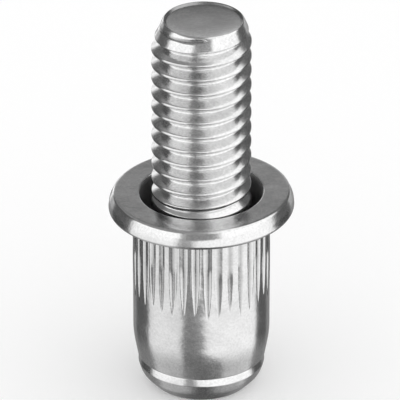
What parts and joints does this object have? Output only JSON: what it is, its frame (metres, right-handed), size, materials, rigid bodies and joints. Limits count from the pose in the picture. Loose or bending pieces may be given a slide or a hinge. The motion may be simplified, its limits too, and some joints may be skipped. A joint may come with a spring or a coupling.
{
  "type": "rivet nut with threaded stud",
  "caption": "Blind rivet stud: a flanged, ribbed steel sleeve on a threaded stud whose head closes the lower end.",
  "frame": {"origin": "centre of the flat foot of the stud's head, the lowest point of the part", "axes": "+Z along the common axis, from the head up to the thread's end; X and Y are free"},
  "size_m": [0.0146, 0.0146, 0.0318],
  "materials": {
    "sleeve_steel": "bright zinc plated, lightly marked by forming",
    "stud_steel": "bright zinc plated, rolled thread"
  },
  "bodies": {
    "root": {"sleeve": "sleeve_steel", "stud": "stud_steel"}
  },
  "joints": []
}
